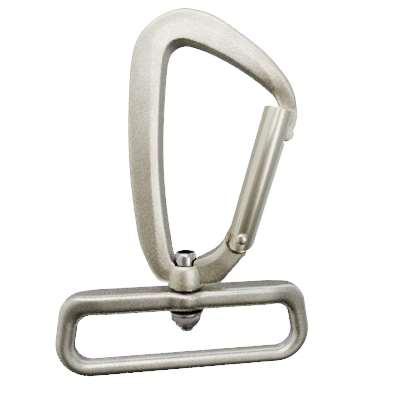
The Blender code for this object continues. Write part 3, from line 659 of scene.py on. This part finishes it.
earEnd = [(-3.4, -1.5), (-2.85, -1.98), (-2.4, -2.3), (-1.7, -2.6), (-0.6, -2.8), (0.6, -2.78), (1.6, -2.48),
          (2.4, -1.9), (3.0, -1.2), (3.6, -0.4)]
earEnd = [tuple(p) for p in smoothLine(earEnd, 4)]
earTrim = cutFromPlate("earTrim", [(-5, -1.5), *earEnd, (5, -0.4), (5, -7), (-5, -7)], -5, 5)
joinWith(gate, earTrim, "DIFFERENCE")

# the slot between the ears: a round roof that steps in on the outer side
slotRoof = []
for roofR, angles in ((gateSizes["roofR"], range(100, -15, -6)), (gateSizes["stopR"], range(-17, -42, -6))):
    slotRoof += [(-roofR * math.sin(math.radians(a)), roofR * math.cos(math.radians(a))) for a in angles]
wall, earGap = gateSizes["wall"], gateSizes["earGap"]
slotOutline = [(-5, -7), (-5, slotRoof[0][1]), *slotRoof, (wall, slotRoof[-1][1]), (wall, -7)]
joinWith(gate, cutFromPlate("earSlot", slotOutline, -earGap, earGap), "DIFFERENCE")
joinWith(gate, turnOnLathe("springBore", [(0, 1.0), (gateSizes["springBoreR"], 1.0),
                                          (gateSizes["springBoreR"], gateSizes["springBoreTop"] - 0.9),
                                          (0, gateSizes["springBoreTop"])], 48), "DIFFERENCE")

# the slot for the nose and the deeper recess for its bulb, each with room all round
endGap, sideGap, floorGap = 0.35, 0.25, 0.3
recessLow = noseSizes["bulbAlong"] - noseSizes["bulbR"] - endGap
recessHigh = noseSizes["bulbAlong"] + noseSizes["bulbR"] + endGap
slotHalf = noseSizes["neckHalf"] + sideGap
recessHalf = noseSizes["bulbHalf"] + sideGap
slotFloor = -1.25
recessFloor = noseSizes["bulbAcross"] - noseSizes["bulbR"] - floorGap
noseSlot = [(slotFloor, recessLow + 1.0), (5, recessLow + 1.0), (5, 32), (slotFloor, 32)]
joinWith(gate, cutFromPlate("noseSlot", noseSlot, -slotHalf, slotHalf), "DIFFERENCE")
joinWith(gate, cutFromPlate("bulbRecess", [(recessFloor, recessLow), (5, recessLow), (5, recessHigh),
                                           (recessFloor, recessHigh)], -recessHalf, recessHalf), "DIFFERENCE")
earHoles = arcPoints((0, 0), gateSizes["holeR"], 0, 352.5, 47)
joinWith(gate, cutFromPlate("earHoles", earHoles, -6, 6), "DIFFERENCE")
softenEdges(gate, 0.09, 2)


def placeOnPivot(obj):
    obj.rotation_euler = (0, gateLean, 0)
    obj.location = (pivotX * mm, 0, pivotZ * mm)
    pickOnly(obj)
    bpy.ops.object.transform_apply()


placeOnPivot(gate)
finishPiece(gate, "gate", "gate", brushedGate, 30)

print("gate done,", len(gate.data.polygons), "faces")


# hinge rivet

rivetSizes = {"shankR": 1.0, "headR": 1.25, "seat": 3.25, "rim": 0.12, "dome": 0.55}

headLine = [(rivetSizes["headR"] * math.cos(math.radians(a)),
             rivetSizes["seat"] + rivetSizes["rim"] + rivetSizes["dome"] * math.sin(math.radians(a)))
            for a in range(0, 91, 6)]
headLine[-1] = (0, headLine[-1][1])
halfRivet = [(rivetSizes["shankR"], rivetSizes["seat"]), (rivetSizes["headR"] - 0.05, rivetSizes["seat"]),
             (rivetSizes["headR"], rivetSizes["seat"] + 0.05), *headLine]
rivet = turnOnLathe("hingeRivet", [(r, -h) for r, h in reversed(halfRivet)] + halfRivet, 64)
rivet.rotation_euler = (math.radians(-90), 0, 0)
rivet.location = (pivotX * mm, 0, pivotZ * mm)
finishPiece(rivet, "gate", "hinge_rivet", polishedRivet)

print("rivet done")


# swivel bolt

boltSizes = {
    "r": 2.0, "headR": 2.65, "headTop": -47.45, "headSeat": -51.4, "socketR": 2.0, "socketDepth": 2.0,
    "end": -66.8, "pitch": 0.7, "depth": 0.35, "threadTop": -61.4,
}

crest = boltSizes["r"] - 0.04
root = crest - boltSizes["depth"]
threadProfile = []
for i in range(int((boltSizes["threadTop"] - boltSizes["end"] - 0.6) / boltSizes["pitch"])):
    low = boltSizes["end"] + 0.5 + i * boltSizes["pitch"]
    threadProfile += [(root, low), (crest, low + 0.3), (crest, low + 0.42)]
headR, headTop, headSeat = boltSizes["headR"], boltSizes["headTop"], boltSizes["headSeat"]
bolt = turnOnLathe("swivelBolt", [
    (0, boltSizes["end"]), (root - 0.12, boltSizes["end"]), (root, boltSizes["end"] + 0.12), *threadProfile,
    (root, boltSizes["threadTop"] - 0.3), (boltSizes["r"], boltSizes["threadTop"]),
    (boltSizes["r"], headSeat), (headR - 0.1, headSeat), (headR, headSeat + 0.1), (headR, headTop - 0.85),
    (headR - 0.03, headTop - 0.78), (headR - 0.34, headTop - 0.04), (headR - 0.38, headTop),
    (boltSizes["socketR"] - 0.3, headTop), (0, headTop)])
keyR, keyFloor = boltSizes["socketR"] - 0.05, headTop - boltSizes["socketDepth"]
hexKey = turnOnLathe("hexKey", [(0, keyFloor), (keyR, keyFloor), (keyR, headTop + 1), (0, headTop + 1)], 6)
joinWith(bolt, hexKey, "DIFFERENCE")
finishPiece(bolt, "hook", "swivel_bolt", brightBolt)

print("bolt done")


# washers, nut and its insert

washerSizes = {
    "thrustWasher": {"node": "thrust_washer", "outerR": 3.6, "top": -55.5, "thick": 0.45},
    "nutWasher": {"node": "nut_washer", "outerR": 4.15, "top": -61.5, "thick": 0.7},
}
washerBoreR = 2.08
for name, sizes in washerSizes.items():
    top, base, outerR = sizes["top"], sizes["top"] - sizes["thick"], sizes["outerR"]
    washer = turnOnLathe(name, [(washerBoreR, top), (washerBoreR, base),
                                (outerR - 0.1, base), (outerR - 0.03, base + 0.03),
                                (outerR, base + 0.1), (outerR, top - 0.1), (outerR - 0.03, top - 0.03),
                                (outerR - 0.1, top), (washerBoreR, top)])
    finishPiece(washer, "hook", sizes["node"], plainWasher)

nutSizes = {
    "flats": 7.0, "top": -62.3, "hexHeight": 2.2, "height": 3.0, "collarR": 2.95, "boreR": 2.05,
    "insertR": 2.5, "ringR": (2.03, 2.44), "ringGap": 0.1,
}
nutTop, nutBase = nutSizes["top"], nutSizes["top"] - nutSizes["height"]
insertTop = nutSizes["top"] - nutSizes["hexHeight"]
cornerR = nutSizes["flats"] / math.sqrt(3)
collarR = nutSizes["collarR"]
nut = turnOnLathe("lockNut", [
    (nutSizes["boreR"], nutTop), (nutSizes["boreR"], insertTop), (nutSizes["insertR"], insertTop),
    (nutSizes["insertR"], nutBase), (collarR - 0.3, nutBase), (collarR - 0.12, nutBase + 0.08),
    (collarR - 0.02, nutBase + 0.28), (collarR, nutBase + 0.5), (collarR, insertTop + 0.2),
    (cornerR + 0.5, insertTop + 0.9), (cornerR + 0.5, nutTop), (nutSizes["boreR"], nutTop)], 96)
hexForm = turnOnLathe("hexForm", [(0, nutBase - 1), (cornerR, nutBase - 1),
                                  (cornerR, nutTop + 1), (0, nutTop + 1)], 6)
hexForm.rotation_euler = (0, 0, math.radians(30))
pickOnly(hexForm)
bpy.ops.object.transform_apply()
joinWith(nut, hexForm, "INTERSECT")
softenEdges(nut, 0.14, 3)
finishPiece(nut, "hook", "lock_nut", dullNut)

ringTop, ringBase = insertTop - nutSizes["ringGap"], nutBase + nutSizes["ringGap"]
ringInner, ringOuter = nutSizes["ringR"]
insert = turnOnLathe("nylonInsert", [(ringInner, ringTop), (ringInner, ringBase), (ringOuter, ringBase),
                                     (ringOuter, ringTop), (ringInner, ringTop)], 64)
finishPiece(insert, "hook", "nylon_insert", milkyNylon)

print("washers and nut done")


# webbing loop

loopSizes = {
    "turn": 15.1,           # degrees, how far the loop is swivelled
    "top": -56.25, "barHeight": 5.15, "upperHalf": 3.4, "lowerHalf": 2.25, "landHalf": 0.65,
    "outerLength": (28.9, 32.4), "innerLength": (25.2, 27.4), "outerBottom": -76.5, "innerBottom": -73.0,
    "outerRound": (5.0, 8.3), "innerRound": (4.0, 4.0),
    "heavyHeights": (-68.0, -59.5), "heavyReach": (30.0, 19.0),     # where the section grows heavy
    "heavyOuter": (1.3, 1.2), "heavyInner": (2.7, 2.4), "ovalShare": (0.48, 0.5),
    "bossR": 4.6, "bossShoulder": 1.5, "bossDip": 0.9, "bossBlend": 0.35, "bossReach": 9, "bossLow": -64,
    "boreR": 2.08, "boreEnds": (-66, -50),
}


def roundedFrame(corners, sideSteps, cornerSteps):
    # a closed outline through corners (x, z, radius)
    arcs = []
    count = len(corners)
    for i in range(count):
        here, radius = Vector(corners[i][:2]), corners[i][2]
        back = (Vector(corners[i - 1][:2]) - here).normalized()
        ahead = (Vector(corners[(i + 1) % count][:2]) - here).normalized()
        halfAngle = back.angle(ahead) / 2
        start = here + back * (radius / math.tan(halfAngle))
        end = here + ahead * (radius / math.tan(halfAngle))
        centre = here + (back + ahead).normalized() * (radius / math.sin(halfAngle))
        first = math.atan2(start.y - centre.y, start.x - centre.x)
        sweep = math.atan2(end.y - centre.y, end.x - centre.x) - first
        sweep = (sweep + math.pi) % (2 * math.pi) - math.pi
        arcs.append([centre + Vector((math.cos(first + sweep * k / cornerSteps),
                                      math.sin(first + sweep * k / cornerSteps))) * radius
                     for k in range(cornerSteps + 1)])
    outline = []
    for i in range(count):
        outline += arcs[i]
        last, following = arcs[i][-1], arcs[(i + 1) % count][0]
        outline += [last.lerp(following, s / sideSteps) for s in range(1, sideSteps)]
    return outline


def loopSection(outer, inner):
    # heavy and flat-topped along the top, nearly oval round the ends and along the bottom
    across = inner - outer
    width = across.length
    across.normalize()
    middle = (outer + inner) / 2
    heavy = easeTo(middle.y, *loopSizes["heavyHeights"]) * easeTo(abs(middle.x), *loopSizes["heavyReach"])
    half = mix(loopSizes["lowerHalf"], loopSizes["upperHalf"], heavy)
    land = half - loopSizes["landHalf"]
    outerShare, innerShare = loopSizes["ovalShare"]
    heavyAcross, heavyDeep = loopSizes["heavyOuter"]
    outerAcross, outerDeep = mix(outerShare * width, heavyAcross, heavy), mix(land, heavyDeep, heavy)
    heavyAcross, heavyDeep = loopSizes["heavyInner"]
    innerAcross, innerDeep = mix(innerShare * width, heavyAcross, heavy), mix(land, heavyDeep, heavy)
    side = [Vector((0, (half - outerDeep) * i / 3)) for i in range(3)]
    outerSteps, innerSteps = 8, 10
    for i in range(outerSteps + 1):
        angle = math.radians(90 * i / outerSteps)
        side.append(Vector((outerAcross * (1 - math.cos(angle)), half - outerDeep * (1 - math.sin(angle)))))
    for i in range(innerSteps + 1):
        angle = math.radians(90 - 90 * i / innerSteps)
        side.append(Vector((width - innerAcross * (1 - math.cos(angle)),
                            half - innerDeep * (1 - math.sin(angle)))))
    side.append(Vector((width, 0)))
    ring = side + [Vector((p.x, -p.y)) for p in reversed(side[:-1])]
    return [Vector((outer.x + across.x * p.x, p.y, outer.y + across.y * p.x)) for p in ring]


def frameCorners(lengths, top, bottom, rounds):
    # upper left, upper right, lower right, lower left
    return [(-lengths[0], top, rounds[0]), (lengths[0], top, rounds[0]),
            (lengths[1], bottom, rounds[1]), (-lengths[1], bottom, rounds[1])]


loopTop = loopSizes["top"]
frameSteps = (40, 16)       # along each side, round each corner
outerFrame = roundedFrame(frameCorners(loopSizes["outerLength"], loopTop, loopSizes["outerBottom"],
                                       loopSizes["outerRound"]), *frameSteps)
innerFrame = roundedFrame(frameCorners(loopSizes["innerLength"], loopTop - loopSizes["barHeight"],
                                       loopSizes["innerBottom"], loopSizes["innerRound"]), *frameSteps)
loopRows = [loopSection(outer, inner) for outer, inner in zip(outerFrame, innerFrame)]
loop = wrapGrid("webbingLoop", loopRows + loopRows[:1], True)

# the bar swells smoothly into a round boss about the bolt
for vertex in loop.data.vertices:
    x, z = vertex.co.x / mm, vertex.co.z / mm
    if z < loopSizes["bossLow"] or abs(x) > loopSizes["bossReach"]:
        continue
    drop = min(1.0, max(0.0, (loopTop - z) / loopSizes["bossShoulder"]))
    bossHere = loopSizes["bossR"] - loopSizes["bossDip"] * (1 - math.sqrt(1 - (1 - drop) ** 2))
    circle = math.sqrt(max(0.0, bossHere ** 2 - x * x)) if abs(x) < bossHere else 0.0
    half, blend = loopSizes["upperHalf"], loopSizes["bossBlend"]
    swollen = half + blend * math.log(1 + math.exp((circle - half) / blend))
    vertex.co.y *= min(swollen, bossHere) / half if bossHere > half else 1.0

boreR, (boreLow, boreTop) = loopSizes["boreR"], loopSizes["boreEnds"]
loopBore = turnOnLathe("loopBore", [(0, boreLow), (boreR, boreLow), (boreR, boreTop), (0, boreTop)])
joinWith(loop, loopBore, "DIFFERENCE")
loop.rotation_euler = (0, 0, math.radians(loopSizes["turn"]))
finishPiece(loop, "loop", "webbing_loop", satinLoop, 40)

print("loop done,", len(loop.data.polygons), "faces")


# pieces inside the gate keep their CAD shape

for name, paint in (("gate_spring", springWire), ("spring_plunger", pinSteel)):
    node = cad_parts[name]
    node.data.materials.clear()
    node.data.materials.append(paint)

low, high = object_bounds()
